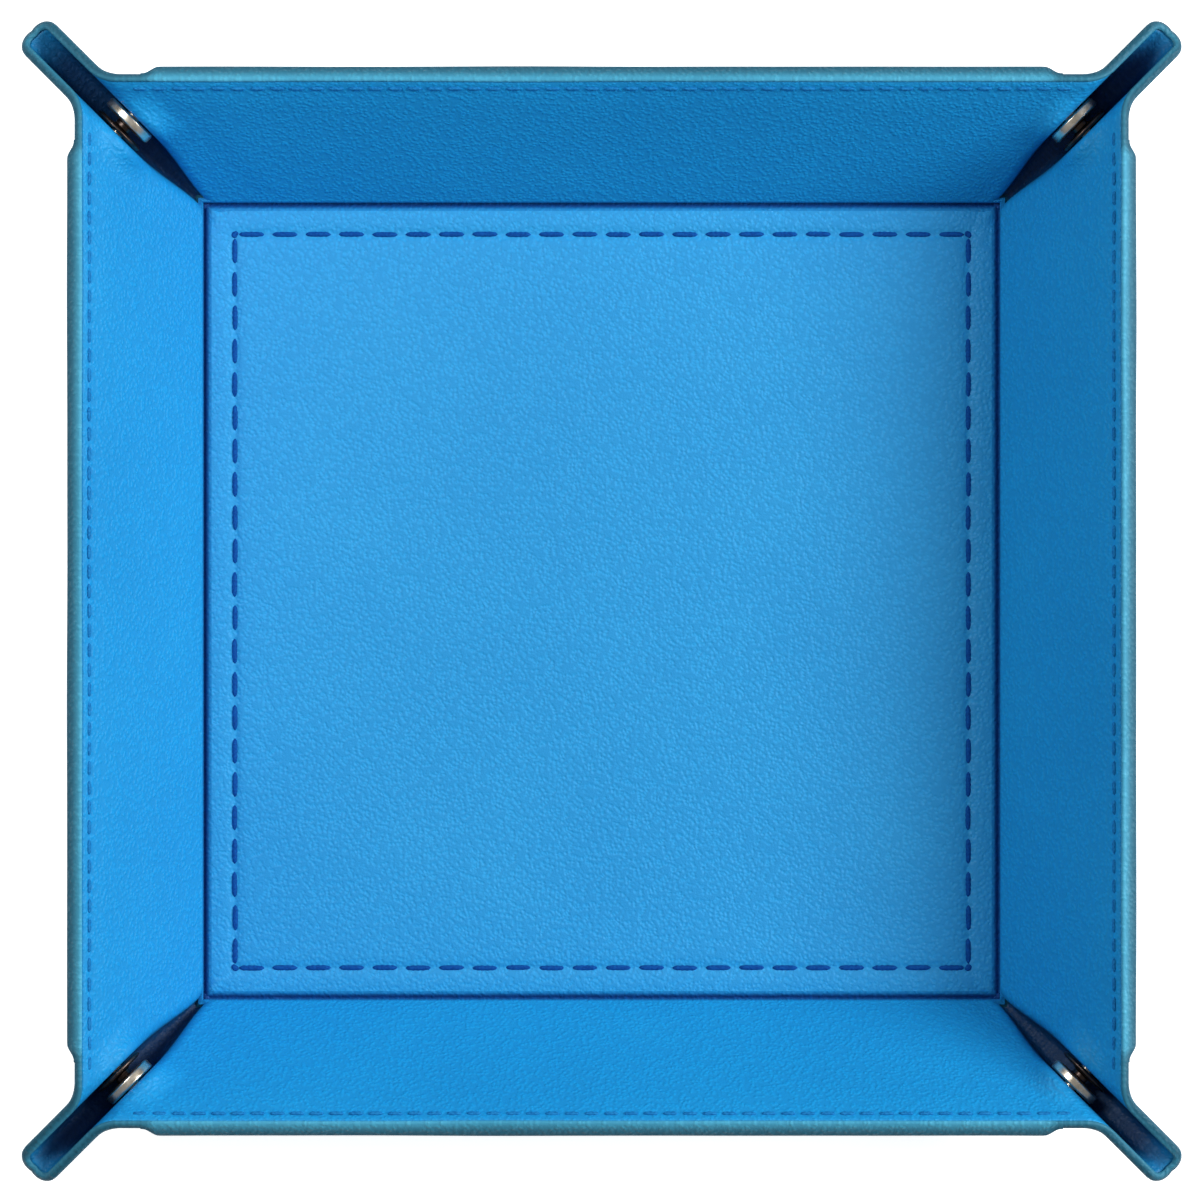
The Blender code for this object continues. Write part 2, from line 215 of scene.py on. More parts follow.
def section(rho, zone_at, share):
    """(x, b, normal x, normal b, flat p) of the outer surface; the normal points at the lining."""
    g, t, foot, top, radius, zone, spine, swell = corner_facts(rho)
    seam = max(foot + 0.55 * (top - foot), top - 2.1)

    def wall_lift(T):
        return ((PIECE_SEAM - T) / (PIECE_SEAM - t)) ** 1.6

    def ear_lift(beyond):
        return 1 - smooth(beyond / SWELL_FADE)

    lift = 0.0
    if zone_at == WALL_ZONE:
        T = PIECE_SEAM + (t + zone - PIECE_SEAM) * share
        x = T * math.sin(TURN) + THIN * math.cos(TURN)
        b = -T * math.cos(TURN) + THIN * math.sin(TURN)
        lift = wall_lift(T)
        out = (x, b, -math.cos(TURN), -math.sin(TURN), -T)
    elif zone_at == BEND_ZONE:
        angle = TURN * (1 - share)
        cx = g + THIN + radius
        cb = foot + zone
        nx = -math.cos(angle)
        nb = -math.sin(angle)
        T = t + zone * (1 - 2 * share)
        lift = ear_lift(t - T) if T < t else wall_lift(T)
        out = (cx + radius * nx, cb + radius * nb, nx, nb, -T)
    elif zone_at == EAR_ZONE:
        low = foot + zone
        b = low + (seam - low) * share
        lift = ear_lift(b - foot)
        out = (g + THIN, b, -1.0, 0.0, -t + b - foot)
    elif zone_at == SPINE_ZONE and share < STRAIGHT_SHARE:
        b = seam + (top - spine - seam) * share / STRAIGHT_SHARE
        lift = ear_lift(b - foot)
        out = (g + THIN, b, -1.0, 0.0, -t + b - foot)
    elif zone_at == SPINE_ZONE:
        angle = math.pi / 2 * (share - STRAIGHT_SHARE) / (1 - STRAIGHT_SHARE)
        nx = -math.cos(angle)
        nb = -math.sin(angle)
        reach = spine + THIN
        p = -t + top - spine - foot + spine * angle
        out = (g - spine - reach * nx, top - spine - reach * nb, nx, nb, p)
    else:
        x = (g - spine) * (1 - share) - TWIN_OVERLAP * share
        p = -t + top - spine - foot + spine * math.pi / 2 + (g - spine) - x
        out = (x, top + THIN, 0.0, -1.0, p)
    x, b, nx, nb, p = out
    return x, b - swell * lift, nx, nb, p


def sheet_top(p):
    """Height of the sheet's edge on the line x = C y + N p, from the floor's corner."""
    middle = WALL - SHEET_RADIUS
    if C * WALL + N * p <= middle:
        return WALL
    q = N * p - middle
    half_b = C * q - middle
    inside = half_b * half_b - N * N * (q * q + middle * middle - SHEET_RADIUS ** 2)
    return (-half_b + math.sqrt(max(0.0, inside))) / (N * N)


def corner_point(zone_at, share, y, depth):
    """(place, uv, shade) of the corner leather, whose shade paints the slot darker; y goes from foot to
    rim, depth from the lining.

    rho follows from the height on the flat sheet and the reverse, so both are found in a few rounds.
    """
    rho = N * y
    for _ in range(6):
        x, b, nx, nb, p = section(rho, zone_at, share)
        top = sheet_top(p)
        foot = GROOVE_HALF - 0.30 * smooth((p + 3.4) / 2.2)
        height = foot + (y - GROOVE_HALF) * (top - foot) / (WALL - GROOVE_HALF)
        rho = N * height + C * p
    x, b, nx, nb, p = section(rho, zone_at, share)
    inward = THIN - depth
    place = ear_point(x + nx * inward, b + nb * inward, rho)
    _, t, low, high, _, _, spine, _ = corner_facts(rho)
    # Painted shade in the slot: darker into the ear and darkest at the diagonal fold, where shadow falls,
    # and lighter towards the ear's tip.
    into_ear = smooth((p + t) / 2)
    at_fold = smooth((p + t - (high - low - spine) + 1.2) / 1.8)
    dark = (0.27 * into_ear + 0.64 * at_fold) * (1 - 0.50 * smooth((rho - 36) / 8))
    uv = flat_uv(HALF + C * height + N * p, HALF + height + max(0, inward))
    return place, uv, 1 - dark


def painted_rim_highlight(depth, y, reach):
    """Painted highlight on the outer leather: 1 at the lip's inner edge, fading over reach to the
    outside, whose darker teal stands as painted shade.
    """
    return (1 - smooth((depth - 0.25 * reach) / reach)) * smooth(y - 33)


def wall_point(x, y, depth):
    """(place, uv) on the north wall: y up from the fold line, depth outward from the lining."""
    place = Vector((x, HALF + y * C + depth * S, TOP + y * S - depth * C))
    return place, flat_uv(x, HALF + y)


# ---------------------------------------------------------------- edge profiles, as (y, depth)

def profile_rows(end, steps=26):
    return [GROOVE_HALF + (end - GROOVE_HALF) * i / steps for i in range(steps + 1)]


def lining_profile():
    rows = profile_rows(LIP_AT - 0.35)
    up = [(y, SKIN) for y in rows]
    edge = [(LIP_AT - 0.1, SKIN - 0.1), (LIP_AT, 0.4), (LIP_AT - 0.12, 0.13)]
    down = [(y, 0.0) for y in reversed(rows)]
    return up + edge + down


def outer_profile(thickness):
    """The outer leather, turned over the rim and down to the lining's edge."""
    outside, inside = 0.75, 0.5    # radii of the rim
    rows = profile_rows(LIP_AT - 0.6)
    points = [(y, thickness) for y in rows]
    turns = [math.radians(angle) for angle in (0, 30, 60, 90)]
    points += [(WALL - outside + outside * math.sin(turn), thickness - outside + outside * math.cos(turn))
               for turn in turns]
    points.append((WALL, thickness * 0.5))
    points += [(WALL - inside + inside * math.cos(turn), 0.42 - inside * math.sin(turn))
               for turn in turns]
    points += [(LIP_AT + 0.2, -0.04), (LIP_AT + 0.09, 0.12), (LIP_AT + 0.09, 0.6)]
    points.append((LIP_AT + 0.05, thickness - SKIN))
    points += [(y, thickness - SKIN) for y in reversed(rows)]
    return points


def corner_loops(profile, places, outer):
    loops = []
    for zone_at, share in places:
        ring = [corner_point(zone_at, share, y, depth) for y, depth in profile]
        if outer:
            # Painted highlight along the lip's inner edge, weaker on the corner leather.
            tones = [0.35 * painted_rim_highlight(depth, y, 0.6) for y, depth in profile]
            ring = [(point, uv, tone) for (point, uv, _), tone in zip(ring, tones)]
        loops.append(ring)
    return loops


def columns(*zones):
    """(zone, share) places across the corner leather, from (zone, steps, first step)."""
    out = []
    for zone_at, steps, first in zones:
        out += [(zone_at, i / steps) for i in range(first, steps + 1)]
    return out


CORNER_COLUMNS = columns((WALL_ZONE, 9, 0), (BEND_ZONE, 7, 1), (EAR_ZONE, 9, 1))
SPINE_COLUMNS = columns((SPINE_ZONE, 12, 0), (STRIP_ZONE, 4, 1))


# ---------------------------------------------------------------- walls

WALL_ENDS = 14                     # stretch beside the seams with closer columns
BOARD_EDGE = 30.8                  # where the wall thins towards its stitches


def wall_half(y):
    """Half length of the wall piece at a height."""
    return HALF + C * y - N * PIECE_SEAM


def wall_columns():
    """Distances from the seams near the ends, and even steps between."""
    near = [0.4 * i for i in range(10)] + [4.2, 5, 7, 10, WALL_ENDS]
    out = [("left", d) for d in near]
    out += [("middle", i / 22) for i in range(1, 22)]
    return out + [("right", d) for d in reversed(near)]


def column_x(column, y):
    kind, value = column
    half = wall_half(y)
    if kind == "left":
        return -half + value
    if kind == "right":
        return half - value
    return (half - WALL_ENDS) * (2 * value - 1)


def wall_thickness(x, y):
    """From the bare corner leather to leather and board, over about 2 mm."""
    beyond = (wall_half(y) - abs(x)) / N
    return THIN + (THICK - THIN) * smooth((beyond - 0.3) / 2.4)


def wall_swell(number, x, y):
    """How far the wall's surface lies out of its plane, towards the board."""
    calm = smooth((wall_half(y) - abs(x)) / 6) * smooth((y - GROOVE_HALF) / 4)
    wave = 0.16 * ripple(x + 37 * number, y, 26, 3.1) * calm
    if y < BOARD_EDGE:
        wave -= 0.10 * calm * smooth((BOARD_EDGE - y) / 2.2)
    if BOARD_EDGE < y < 34:
        wave += 0.18 * math.exp(-((y - RIM_SEAM) / 0.6) ** 2) * calm
    return wave


def wall_loops(number, lining):
    rim = 0.7                      # depth down to which the rim keeps its shape
    profile = lining_profile() if lining else outer_profile(THICK)
    loops = []
    for column in wall_columns():
        ring = []
        for y, depth in profile:
            x = column_x(column, y)
            thickness = wall_thickness(x, y)
            if not lining and depth > rim:
                depth = rim + (depth - rim) * (thickness - rim) / (THICK - rim)
            wave = wall_swell(number, x, y)
            point, uv = wall_point(x, y, depth + (-wave if depth > 2 else wave))
            # Painted light: none on the lining; on the teal leather a painted highlight along the lip's
            # inner edge, weaker where there is no board.
            tone = 1.0
            if not lining:
                board = (thickness - THIN) / (THICK - THIN)
                tone = painted_rim_highlight(depth, y, 0.7 + 1.2 * board) * (0.35 + 0.65 * board)
                uv = flat_uv(x, HALF + y + max(0.0, thickness - depth))
            ring.append((point, uv, tone))
        loops.append(ring)
    return loops


# ---------------------------------------------------------------- fold strips

def bezier(p0, p1, p2, p3, t):
    s = 1 - t
    return tuple(s ** 3 * a + 3 * s * s * t * b + 3 * s * t * t * c + t ** 3 * d
                 for a, b, c, d in zip(p0, p1, p2, p3))


def groove_line(depth, steps):
    """Section of the valley between floor and wall as (outward, up) points with normals down."""
    half = TILT / 2
    bottom = (math.sin(half) * depth, -math.cos(half) * depth)
    tangent = (math.cos(half), math.sin(half))
    d = GROOVE_HALF
    pull = 0.30
    before = (bottom[0] - tangent[0] * pull, bottom[1] - tangent[1] * pull)
    after = (bottom[0] + tangent[0] * pull, bottom[1] + tangent[1] * pull)
    down = ((-d, 0), (-d * 0.25, 0), before, bottom)
    up = (bottom, after, (d * 0.25 * C, d * 0.25 * S), (d * C, d * S))
    first = [bezier(*down, i / steps) for i in range(steps + 1)]
    second = [bezier(*up, i / steps) for i in range(1, steps + 1)]
    return first + second


def offset_line(line, amounts):
    """The line moved to its right, by an amount for each point."""
    out = []
    for i, (a, b) in enumerate(line):
        before = line[max(0, i - 1)]
        after = line[min(len(line) - 1, i + 1)]
        ta, tb = after[0] - before[0], after[1] - before[1]
        size = math.hypot(ta, tb)
        out.append((a + tb / size * amounts[i], b - ta / size * amounts[i]))
    return out


def lining_strip(steps=60):
    """Lining in the north fold's groove, mitred at both ends, with painted shade along its bottom."""
    upper = groove_line(GROOVE_DEPTH, 6)
    last = len(upper) - 1
    amounts = [SKIN - 0.3 * math.sin(math.pi * i / last) for i in range(last + 1)]
    lower = offset_line(upper, amounts)
    loops = []
    for j in range(steps + 1):
        share = 2 * j / steps - 1
        ring = []
        for a, b in lower + list(reversed(upper)):
            x = (HALF + a - 0.02) * share
            # Painted shade: darkest at the groove's bottom, where shadow falls.
            dark = smooth(1.2 - math.hypot(a - 0.15, b + 0.45) / 1.05) if b < 0.4 else 0.0
            ring.append((Vector((x, HALF + a, TOP + b)), flat_uv(x, HALF + a), 1 - dark))
        loops.append(ring)
    return loops


def outer_strip(steps=12):
    """Outer leather round the bottom edge; thinner towards the corners, as the wall is."""
    middle = [column_x(column, GROOVE_HALF) for column in wall_columns()]
    end = middle[-1]
    beyond = [end + (HALF - end) * i / 9 for i in range(1, 10)]
    shares = [i / steps for i in range(steps + 1)]
    loops = []
    for place in [-x for x in reversed(beyond)] + middle + beyond:
        thick = wall_thickness(place, GROOVE_HALF) if abs(place) < end else THIN
        mitre = smooth((abs(place) - end) / (HALF - end))
        foot = (-GROOVE_HALF, -THICK)
        wall = (thick * S + GROOVE_HALF * C, -thick * C + GROOVE_HALF * S)
        reach = 0.9 + 0.5 * (thick - THIN)
        pulls = (foot[0] + reach * 1.2, foot[1]), (wall[0] - C * reach, wall[1] - S * reach)
        line = [bezier(foot, *pulls, wall, share) for share in shares]
        inner = offset_line(line, [-SKIN] * len(line))
        ring = []
        for share, (a, b) in zip(shares + shares[::-1], line + inner[::-1]):
            x = math.copysign(abs(place) + a * mitre, place)
            ring.append((Vector((x, HALF + a, TOP + b)), flat_uv(x, HALF - 1.5 + 4.2 * share)))
        loops.append(ring)
    return loops


# ---------------------------------------------------------------- floor

def floor_steps():
    """Grid lines over the floor, closest at its stitches."""
    seam = [FLOOR_SEAM + d for d in (2.1, 1.4, 0.9, 0.5, 0.25, 0, -0.25, -0.5, -0.9, -1.5, -2.5, -4, -6)]
    half = [FLOOR_EDGE, 73.4, 72.6] + seam + [60.0 - 4 * i for i in range(15)]
    return sorted([-v for v in half] + half + [0.0])


def floor_top(x, y):
    """The floor's surface: soft unevenness, the stitched channel, a swollen edge, puckered corners."""
    reach = max(abs(x), abs(y))
    calm = smooth((FLOOR_EDGE - reach) / 5)
    height = TOP + 0.10 * ripple(x, y, 30, 8.3) * calm
    height -= 0.30 * math.exp(-((reach - FLOOR_SEAM) / 0.75) ** 2)
    height += 0.10 * smooth((FLOOR_SEAM - reach) / 3)
    height += 0.16 * math.exp(-((reach - 72.2) / 1.3) ** 2)
    dx, dy = HALF - abs(x), HALF - abs(y)
    away = math.hypot(dx, dy)
    turn = math.atan2(dy, dx) - math.pi / 4
    return height + 0.30 * math.exp(-((away - 2.6) / 1.9) ** 2) * math.cos(7.5 * turn)


# ---------------------------------------------------------------- stitches

def stitch(verts, faces, uvs, middle, along, up, length, width, proud, seed):
    """One stitch: a swollen thread with two twisted plies, its ends dipping into the leather."""
    side = along.cross(up)
    rings, around = 11, 10
    base = len(verts)
    for i in range(rings):
        t = i / (rings - 1) * 2 - 1
        fat = max((1 - abs(t) ** 4) ** 0.5, 0.12)
        sink = 0.5 * proud * t ** 6
        for k in range(around):
            angle = 2 * math.pi * k / around
            ply = 1 + 0.13 * math.cos(2 * (angle + t * length * 1.5 + seed))
            off = side * (math.cos(angle) * width / 2 * fat * ply)
            off += up * (math.sin(angle) * proud * fat * ply + proud * 0.15 - sink)
            verts.append(middle + along * (t * length / 2) + off)
            uvs.append((0.5 + 0.5 * t, k / around))
    for i in range(rings - 1):
        for k in range(around):
            a = base + i * around + k
            b = base + i * around + (k + 1) % around
            faces.append((a, b, b + around, a + around))
    faces.append(tuple(base + k for k in reversed(range(around))))
    faces.append(tuple(base + (rings - 1) * around + k for k in range(around)))


def floor_stitches():
    verts, faces, uvs = [], [], []
    count = 22
    pitch = 2 * FLOOR_SEAM / count
    level = TOP - 0.27
    up = Vector((0, 0, 1))
    for number in range(4):
        turn = Matrix.Rotation(-number * math.pi / 2, 3, "Z")
        for i in range(count):
            wobble = 0.10 * noise.noise(Vector((i * 1.7, number * 5.3, 0.4)))
            lean = 0.02 * noise.noise(Vector((i * 2.3, number * 3.1, 9.4)))
            middle = Vector((-FLOOR_SEAM + (i + 0.5) * pitch, FLOOR_SEAM + wobble, level))
            along = Vector((1, lean, 0)).normalized()
            stitch(verts, faces, uvs, turn @ middle, turn @ along, up, pitch * 0.78, 0.98, 0.36, i)
        corner = Vector((-FLOOR_SEAM, FLOOR_SEAM, level))
        along = Vector((1, 1, 0)).normalized()
        stitch(verts, faces, uvs, turn @ corner, turn @ along, up, 1.5, 1.05, 0.36, 0.5)
    return verts, faces, uvs


def rim_stitches(number):
    verts, faces, uvs = [], [], []
    reach = HALF + C * RIM_SEAM - N * 6.4
    count = 2 * round(reach / 3.54)
    pitch = 2 * reach / count
    normal = Vector((0, -S, C))
    for i in range(count):
        wobble = 0.06 * noise.noise(Vector((i * 1.3, number * 7.7, 2.4)))
        point, _ = wall_point(-reach + (i + 0.5) * pitch, RIM_SEAM + wobble, 0.04)
        stitch(verts, faces, uvs, point, Vector((1, 0, 0)), normal, pitch * 0.74, 0.74, 0.24, i)
    return verts, faces, uvs


# ---------------------------------------------------------------- snaps

def snap_matrix(side, hand):
    """Places a snap drawn about Z, outside of the ear at z < 0, on a half ear."""
    axis = -ACROSS
    local = Matrix((ALONG, axis.cross(ALONG), axis)).transposed().to_4x4()
    local.translation = ear_point(SLOT_HALF + THIN, CREASE_DEPTH + SNAP_BESIDE, SNAP_ALONG)
    return turned_to(side, hand) @ local


def turned_mesh(profile, steps=72, closed=False):
    """A profile of (radius, height) turned about Z."""
    verts, faces, uvs = [], [], []
    rings = []
    for radius, height in profile:
        if radius < 1e-6:
            rings.append([len(verts)])
            verts.append(Vector((0, 0, height)))
            uvs.append((0.5, height * 0.1))
            continue
        ring = []
        for k in range(steps):
            angle = 2 * math.pi * k / steps
            ring.append(len(verts))
            verts.append(Vector((radius * math.cos(angle), radius * math.sin(angle), height)))
            uvs.append((k / steps, height * 0.1))
        rings.append(ring)
    pairs = list(zip(rings, rings[1:]))
    if closed:
        pairs.append((rings[-1], rings[0]))
    for a, b in pairs:
        for k in range(steps):
            n = (k + 1) % steps
            if len(a) == 1:
                faces.append((a[0], b[k], b[n]))
            elif len(b) == 1:
                faces.append((a[k], b[0], a[n]))
            else:
                faces.append((a[k], b[k], b[n], a[n]))
    return verts, faces, uvs


def rounded(points, radius, steps=4, closed=False):
    """A profile with its corners rounded."""
    out = []
    count = len(points)
    for i, here in enumerate(points):
        if not closed and i in (0, count - 1):
            out.append(here)
            continue
        before = points[i - 1]
        after = points[(i + 1) % count]
        ends = []
        for other in (before, after):
            dx, dy = other[0] - here[0], other[1] - here[1]
            size = math.hypot(dx, dy)
            cut = min(radius, size * 0.42)
            ends.append((here[0] + dx / size * cut, here[1] + dy / size * cut))
        for k in range(steps + 1):
            t = k / steps
            out.append(tuple((1 - t) ** 2 * a + 2 * t * (1 - t) * b + t * t * c
                             for a, b, c in zip(ends[0], here, ends[1])))
    return out


CAP = rounded([(0, 2.5), (1.4, 2.5), (1.4, -0.3), (5.1, -0.3), (5.4, -0.5), (5.4, -0.85), (4.9, -1.15),
               (4.2, -1.42), (3.0, -1.58), (1.5, -1.64), (0, -1.65)], 0.16)
SOCKET = rounded([(2.6, 3.8), (3.0, 3.95), (4.6, 3.85), (5.05, 3.55), (5.05, 2.3), (4.8, 2.0),
                  (1.75, 2.0), (1.75, 2.75), (2.6, 2.75)], 0.18, closed=True)
STUD = rounded([(0, 4.95), (1.5, 4.95), (1.95, 4.6), (1.95, 4.25), (1.6, 3.9), (1.6, 3.1), (2.4, 2.9),
                (4.5, 2.9), (5.05, 2.6), (5.05, 2.3), (4.7, 2.0), (1.5, 2.0), (1.5, 2.5), (0, 2.5)], 0.14)
POST = rounded([(0, 2.2), (1.2, 2.2), (1.2, -0.3), (4.2, -0.3), (4.5, -0.6), (4.2, -0.95), (2.9, -0.8),
                (1.7, -0.98), (0.8, -0.6), (0.8, 1.0), (0, 1.0)], 0.14)
SNAP_SHAPES = {"cap": CAP, "socket": SOCKET, "stud": STUD, "post": POST}


# ---------------------------------------------------------------- materials

def new_material(name):
    """(material, node tree, shader)"""
    material = bpy.data.materials.new(name)
    material.use_nodes = True
    tree = material.node_tree
    return material, tree, tree.nodes["Principled BSDF"]


def add(tree, kind, **values):
    node = tree.nodes.new(kind)
    for key, value in values.items():
        if key.startswith("in_"):
            node.inputs[key[3:].replace("_", " ")].default_value = value
        else:
            setattr(node, key, value)
    return node


def ramp(tree, source, stops):
    """Colours for a value, from (value, colour) stops."""
    node = tree.nodes.new("ShaderNodeValToRGB")
    elements = node.color_ramp.elements
    while len(elements) < len(stops):
        elements.new(0.5)
    for element, (place, colour) in zip(elements, stops):
        element.position = place
        element.color = (*colour, 1)
    tree.links.new(source, node.inputs["Fac"])
    return node.outputs["Color"]


def mix(tree, kind, factor, a, b):
    """Mix of two colours; the factor and the colours are values or sockets."""
    node = tree.nodes.new("ShaderNodeMix")
    node.data_type = "RGBA"
    node.blend_type = kind
    for socket, value in ((node.inputs[0], factor), (node.inputs[6], a), (node.inputs[7], b)):
        if isinstance(value, (int, float)):
            socket.default_value = value
        elif isinstance(value, tuple):
            socket.default_value = (*value, 1)
        else:
            tree.links.new(value, socket)
    return node.outputs[2]


def bump(tree, shader, source, strength, distance):
    node = add(tree, "ShaderNodeBump", in_Strength=strength, in_Distance=distance)
    tree.links.new(source, node.inputs["Height"])
    tree.links.new(node.outputs["Normal"], shader.inputs["Normal"])


def roughness(tree, shader, source, values, limits=(0.0, 1.0)):
    """Roughness between two values as the source goes between its limits."""
    node = add(tree, "ShaderNodeMapRange")
    for socket, value in zip(("From Min", "From Max", "To Min", "To Max"), limits + values):
        node.inputs[socket].default_value = value
    tree.links.new(source, node.inputs["Value"])
    tree.links.new(node.outputs["Result"], shader.inputs["Roughness"])


def object_noise(tree, scale, detail, rough=0.5):
    place = add(tree, "ShaderNodeTexCoord")
    node = add(tree, "ShaderNodeTexNoise", in_Scale=scale, in_Detail=detail, in_Roughness=rough)
    tree.links.new(place.outputs["Object"], node.inputs["Vector"])
    return node.outputs["Fac"]


def leather(name, dark, base, light, shaded, rough, cell=300.0):
    """Pebbled leather on the flat sheet's coordinates: cells, finer crumple and soft blotches.

    Where a mesh's shade is 0, or it has none, its colour is the shaded one: painted shade in the folds
    and slots. On the teal leather the shaded colour is its dark teal everywhere but at the rim, where
    shade paints a lighter highlight along the lip's inner edge.
    """
    material, tree, shader = new_material(name)
    sheet = add(tree, "ShaderNodeUVMap", uv_map="sheet")
    warp = add(tree, "ShaderNodeTexNoise", in_Scale=90.0, in_Detail=2.0)
    tree.links.new(sheet.outputs["UV"], warp.inputs["Vector"])
    bent = mix(tree, "LINEAR_LIGHT", 0.0015, sheet.outputs["UV"], warp.outputs["Color"])
    pebble = add(tree, "ShaderNodeTexVoronoi", feature="SMOOTH_F1", in_Scale=cell, in_Smoothness=0.6)
    tree.links.new(bent, pebble.inputs["Vector"])
    crumple = add(tree, "ShaderNodeTexNoise", in_Scale=cell * 1.9, in_Detail=5.0, in_Roughness=0.62)
    tree.links.new(bent, crumple.inputs["Vector"])
    blotch = add(tree, "ShaderNodeTexNoise", in_Scale=5.5, in_Detail=4.0, in_Roughness=0.55)
    tree.links.new(sheet.outputs["UV"], blotch.inputs["Vector"])
    cells = ramp(tree, pebble.outputs["Distance"], [(0.08, (1, 1, 1)), (0.62, (0, 0, 0))])
    height = mix(tree, "MIX", 0.42, cells, crumple.outputs["Fac"])
    tone = ramp(tree, blotch.outputs["Fac"], [(0.30, dark), (0.52, base), (0.75, light)])
    pores = ramp(tree, height, [(0.18, (0.42, 0.50, 0.60)), (0.66, (1, 1, 1))])
    # The shade attribute paints shade into folds and slots, and a highlight along the teal rim.
    shade = add(tree, "ShaderNodeAttribute", attribute_name="shade")
    tone = mix(tree, "MIX", shade.outputs["Fac"], shaded, tone)
    tree.links.new(mix(tree, "MULTIPLY", 0.30, tone, pores), shader.inputs["Base Color"])
    roughness(tree, shader, height, (rough + 0.14, rough - 0.06), limits=(0.2, 0.8))
    bump(tree, shader, height, 1.0, 0.00020)
    shader.inputs["Specular IOR Level"].default_value = 0.30
    return material


def thread_material(name, dark, light):
    """Waxed thread with fine twisted fibres."""
    material, tree, shader = new_material(name)
    fibres = object_noise(tree, 2600.0, 4.0)
    tree.links.new(ramp(tree, fibres, [(0.3, dark), (0.7, light)]), shader.inputs["Base Color"])
    bump(tree, shader, fibres, 0.5, 0.00008)
    shader.inputs["Roughness"].default_value = 0.75
    shader.inputs["Specular IOR Level"].default_value = 0.12
    return material


def metal(name, dark, light, rough):
    """Plated metal: slightly worn plating with a fine grain."""
    material, tree, shader = new_material(name)
    wear = object_noise(tree, 420.0, 6.0, 0.7)
    tree.links.new(ramp(tree, wear, [(0.34, dark), (0.58, light)]), shader.inputs["Base Color"])
    roughness(tree, shader, wear, (rough - 0.08, rough + 0.22))
    bump(tree, shader, object_noise(tree, 2400.0, 3.0), 0.25, 0.00003)
    shader.inputs["Metallic"].default_value = 1.0
    return material


def board_material():
    """Grey board: pressed fibres."""
    material, tree, shader = new_material("pressed_board")
    fibres = object_noise(tree, 900.0, 6.0)
    tones = ramp(tree, fibres, [(0.3, (0.26, 0.23, 0.19)), (0.7, (0.50, 0.46, 0.40))])
    tree.links.new(tones, shader.inputs["Base Color"])
    bump(tree, shader, fibres, 0.4, 0.0001)
    shader.inputs["Roughness"].default_value = 0.9
    return material


# Lining leather; its shaded colour is the painted shade in the slots.
LINING = leather("blue_lining", (0.008, 0.325, 0.72), (0.009, 0.345, 0.75), (0.011, 0.365, 0.77),
                 (0.001, 0.012, 0.07), 0.46)
# A darker copy of the lining for the fold grooves and corner dimples: painted shade. Its shaded colour
# paints the grooves' bottoms and the dimples darker still.
FOLD = leather("blue_fold_painted_shade", (0.006, 0.26, 0.62), (0.007, 0.28, 0.65), (0.009, 0.30, 0.68),
               (0.0005, 0.065, 0.29), 0.55)
# The floor's copy of the lining, a little paler than the walls': painted light. Its shaded colour is not
# used.
FLOOR = leather("blue_floor_painted_light", (0.020, 0.35, 0.75), (0.022, 0.365, 0.77), (0.026, 0.385, 0.79),
                (0.0005, 0.035, 0.17), 0.44)
# Teal outer leather: its shaded colour is its dark teal, which also stands as painted shade on the lip's
# outer side; its lighter colours show only as the painted highlight along the rim.
OUTER = leather("teal_outer", (0.055, 0.37, 0.56), (0.065, 0.41, 0.62), (0.08, 0.45, 0.66),
                (0.010, 0.11, 0.175), 0.5, cell=280.0)
FLOOR_THREAD = thread_material("navy_thread", (0.001, 0.045, 0.24), (0.003, 0.10, 0.40))
RIM_THREAD = thread_material("blue_thread", (0.004, 0.14, 0.40), (0.018, 0.26, 0.60))
NICKEL = metal("warm_nickel", (0.66, 0.57, 0.43), (0.96, 0.88, 0.74), 0.24)
DARK_METAL = metal("dark_plate", (0.035, 0.025, 0.022), (0.13, 0.095, 0.08), 0.30)
BOARD = board_material()


# ---------------------------------------------------------------- pieces

def add_floor():
    steps = floor_steps()
    shape = grid_plate(steps, steps, floor_top, lambda x, y: TOP - SKIN)
    top = make("lining_floor", *shape, FLOOR, Matrix(), shade=[1.0] * len(shape[0]))
    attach(top, "floor")
    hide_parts("floor_lining")

    def underside(x, y):
        reach = max(abs(x), abs(y))
        calm = smooth((FLOOR_EDGE - reach) / 5)
        height = 0.10 * (1 + ripple(x, y, 24, 5.5)) * calm
        return height + 0.16 * math.exp(-((reach - FLOOR_SEAM) / 0.75) ** 2)

    shape = grid_plate(steps, steps, lambda x, y: SKIN, underside)
    under = make("outer_floor", *shape, OUTER, Matrix())
    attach(under, "floor")
    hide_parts("floor_outer")
    seam = make("stitches_floor", *floor_stitches(), FLOOR_THREAD, Matrix(), THREAD_ANGLE)
    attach(seam, "floor")
    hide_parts("floor_thread")


def add_dimple(side, corner):
    """The pinched bottom of a corner, under the ends of the folds, wholly in painted shade."""
    profile = rounded([(0, -0.50), (0.95, -0.50), (1.15, -0.70), (0.95, -0.90), (0, -0.90)], 0.1)
    verts, faces, uvs = turned_mesh(profile, 32)
    place = Matrix.Translation((HALF + 0.45, HALF + 0.45, TOP))
    uvs = [flat_uv(HALF + v.x, HALF + v.y) for v in verts]
    verts = [place @ v for v in verts]
    # shade 0: the plug takes the fold leather's painted shade colour all over.
    piece = make(f"lining_dimple_{corner}", verts, faces, uvs, FOLD, turned_to(side, 1),
                 shade=[0.0] * len(verts))
    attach(piece, "floor")


